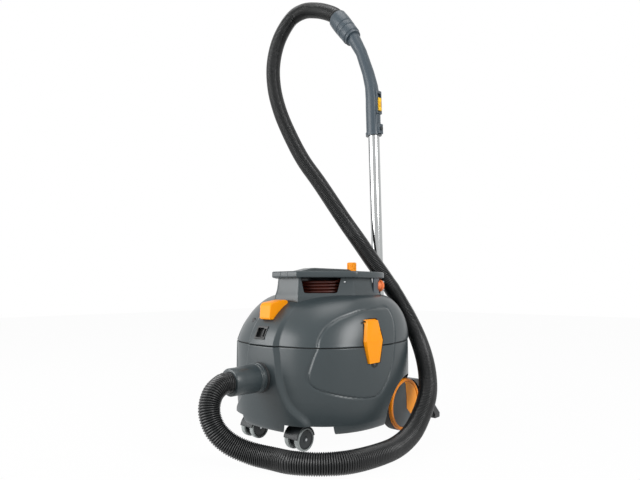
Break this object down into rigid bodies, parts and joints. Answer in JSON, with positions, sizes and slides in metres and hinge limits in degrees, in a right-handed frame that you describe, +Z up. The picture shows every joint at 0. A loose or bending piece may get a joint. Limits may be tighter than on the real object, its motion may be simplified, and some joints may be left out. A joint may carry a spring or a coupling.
{
  "type": "canister vacuum cleaner",
  "caption": "Commercial tub vacuum cleaner on casters and rear wheels, with a lift-off head, a cable store under its ring handle, and a hose, steel wand and floor tool parked behind.",
  "frame": {"origin": "centre of the footprint on the floor, halfway between the inlet cuff's end and the floor tool's rollers", "axes": "+Z up, -Y the front with the hose inlet, +X the machine's left"},
  "size_m": [0.6516, 0.6676, 1.2395],
  "materials": {
    "housing": "fine satin grain",
    "dark_plastic": "satin",
    "black_plastic": "satin",
    "slate_plastic": "satin",
    "orange_plastic": "smooth moulded",
    "yellow_plastic": "smooth moulded",
    "orange_rubber": "smooth moulded rubber",
    "lead": "extruded sheath",
    "tyre": "smooth solid rubber",
    "caster_tread": "light grey tread",
    "hose": "ribbed, slightly shiny",
    "seal": "soft foam rubber",
    "fleece": "non-woven fleece",
    "bristle": "stiff nylon bristle",
    "steel": "bright zinc plated",
    "stainless": "polished stainless steel",
    "screw": "bright",
    "motor_metal": "cast and turned",
    "fan_metal": "pressed sheet"
  },
  "bodies": {
    "base": {"tub": "housing", "base_plate": "dark_plastic", "inlet_socket": "black_plastic", "caster_bush_left": "steel", "caster_bush_right": "steel", "rear_axle": "steel", "wand_holder": "dark_plastic", "filter_bag": "fleece", "bag_collar": "dark_plastic", "hose": "hose", "handle": "slate_plastic", "wand_tube": "stainless", "tool_neck": "black_plastic"},
    "head": {"head_shell": "housing", "head_plate": "dark_plastic", "seam_seal": "seal", "neck": "housing", "cord_drum": "dark_plastic", "ring_handle": "housing", "carry_handle": "housing", "neck_screws": "screw", "brush_outlet": "black_plastic", "lead_coupler": "orange_plastic", "exhaust_filter": "fleece", "motor": "motor_metal", "fan_housing": "dark_plastic", "filter_basket": "dark_plastic", "latch_pins": "steel", "mains_cord": "lead", "cord_core": "lead", "plug": "orange_rubber", "plug_dock": "slate_plastic"},
    "fan": {"fan_wheel": "fan_metal"},
    "knob": {"power_knob": "orange_plastic"},
    "button": {"reset_button": "black_plastic"},
    "latch_l": {"latch_left": "orange_plastic"},
    "latch_r": {"latch_right": "orange_plastic"},
    "wheel_l": {"tyre_left": "tyre", "wheel_disc_left": "housing", "wheel_rim_left": "orange_plastic"},
    "wheel_r": {"tyre_right": "tyre", "wheel_disc_right": "housing", "wheel_rim_right": "orange_plastic"},
    "caster_l": {"caster_fork_left": "dark_plastic", "caster_axle_left": "steel"},
    "caster_r": {"caster_fork_right": "dark_plastic", "caster_axle_right": "steel"},
    "caster_wheels_l": {"caster_wheels_left": "caster_tread"},
    "caster_wheels_r": {"caster_wheels_right": "caster_tread"},
    "inlet_cuff": {"hose_cuff": "black_plastic"},
    "grip_cuff": {"handle_cuff": "black_plastic"},
    "air_slide": {"suction_slide": "yellow_plastic"},
    "lock_button": {"wand_button": "orange_plastic"},
    "floor_tool": {"tool_body": "black_plastic", "tool_sole": "steel"},
    "pedal": {"tool_pedal": "slate_plastic"},
    "brushes": {"tool_brushes": "bristle"},
    "rollers": {"tool_rollers": "dark_plastic"}
  },
  "joints": [
    {"name": "head_lift", "type": "slide", "parent": "base", "child": "head", "axis": [0, 0, 1], "range_m": [0, 0.03]},
    {"name": "fan_spin", "type": "hinge", "parent": "head", "child": "fan", "pos_m": [0, 0.03, 0.245], "axis": [0, 0, 1], "continuous": true},
    {"name": "power_dial", "type": "hinge", "parent": "head", "child": "knob", "pos_m": [0, 0.117, 0.41], "axis": [0, 0, 1], "range_deg": [0, 270]},
    {"name": "reset_press", "type": "slide", "parent": "head", "child": "button", "axis": [0, 1, 0], "range_m": [0, 0.002], "stiffness_N_per_m": 600},
    {"name": "latch_left_swing", "type": "hinge", "parent": "head", "child": "latch_l", "pos_m": [0.183, -0.05, 0.279], "axis": [0, -1, 0], "range_deg": [0, 50]},
    {"name": "latch_right_swing", "type": "hinge", "parent": "head", "child": "latch_r", "pos_m": [-0.183, -0.05, 0.279], "axis": [0, 1, 0], "range_deg": [0, 50]},
    {"name": "wheel_left_spin", "type": "hinge", "parent": "base", "child": "wheel_l", "pos_m": [0.15, 0.12, 0.065], "axis": [1, 0, 0], "continuous": true},
    {"name": "wheel_right_spin", "type": "hinge", "parent": "base", "child": "wheel_r", "pos_m": [-0.15, 0.12, 0.065], "axis": [1, 0, 0], "continuous": true},
    {"name": "caster_left_swivel", "type": "hinge", "parent": "base", "child": "caster_l", "pos_m": [0.073, -0.142, 0.06], "axis": [0, 0, 1], "continuous": true},
    {"name": "caster_right_swivel", "type": "hinge", "parent": "base", "child": "caster_r", "pos_m": [-0.073, -0.142, 0.06], "axis": [0, 0, 1], "continuous": true},
    {"name": "caster_left_spin", "type": "hinge", "parent": "caster_l", "child": "caster_wheels_l", "pos_m": [0.073, -0.16, 0.025], "axis": [1, 0, 0], "continuous": true},
    {"name": "caster_right_spin", "type": "hinge", "parent": "caster_r", "child": "caster_wheels_r", "pos_m": [-0.073, -0.16, 0.025], "axis": [1, 0, 0], "continuous": true},
    {"name": "inlet_swivel", "type": "hinge", "parent": "base", "child": "inlet_cuff", "pos_m": [0, -0.24, 0.155], "axis": [0, 1, 0], "continuous": true},
    {"name": "grip_swivel", "type": "hinge", "parent": "base", "child": "grip_cuff", "pos_m": [-0.068, 0.2031, 1.08171], "axis": [-0.5948, -0.0393, 0.8029], "continuous": true},
    {"name": "suction_adjust", "type": "slide", "parent": "base", "child": "air_slide", "axis": [0, -0.0489, 0.9988], "range_m": [0, 0.012]},
    {"name": "wand_unlock", "type": "slide", "parent": "base", "child": "lock_button", "axis": [-1, 0, 0], "range_m": [0, 0.003], "stiffness_N_per_m": 800},
    {"name": "tool_tilt", "type": "hinge", "parent": "base", "child": "floor_tool", "pos_m": [0, 0.254, 0.058], "axis": [-1, 0, 0], "range_deg": [0, 80]},
    {"name": "pedal_press", "type": "hinge", "parent": "floor_tool", "child": "pedal", "pos_m": [-0.045, 0.265, 0.084], "axis": [1, 0, 0], "range_deg": [0, 8]},
    {"name": "brush_drop", "type": "slide", "parent": "floor_tool", "child": "brushes", "axis": [0, 1, 0], "range_m": [0, 0.004]},
    {"name": "roller_spin", "type": "hinge", "parent": "floor_tool", "child": "rollers", "pos_m": [0, 0.287, 0.086], "axis": [1, 0, 0], "continuous": true}
  ],
  "couplings": [
    {"joint": "brush_drop", "follows": "pedal_press", "m_per_rad": 0.028648}
  ]
}
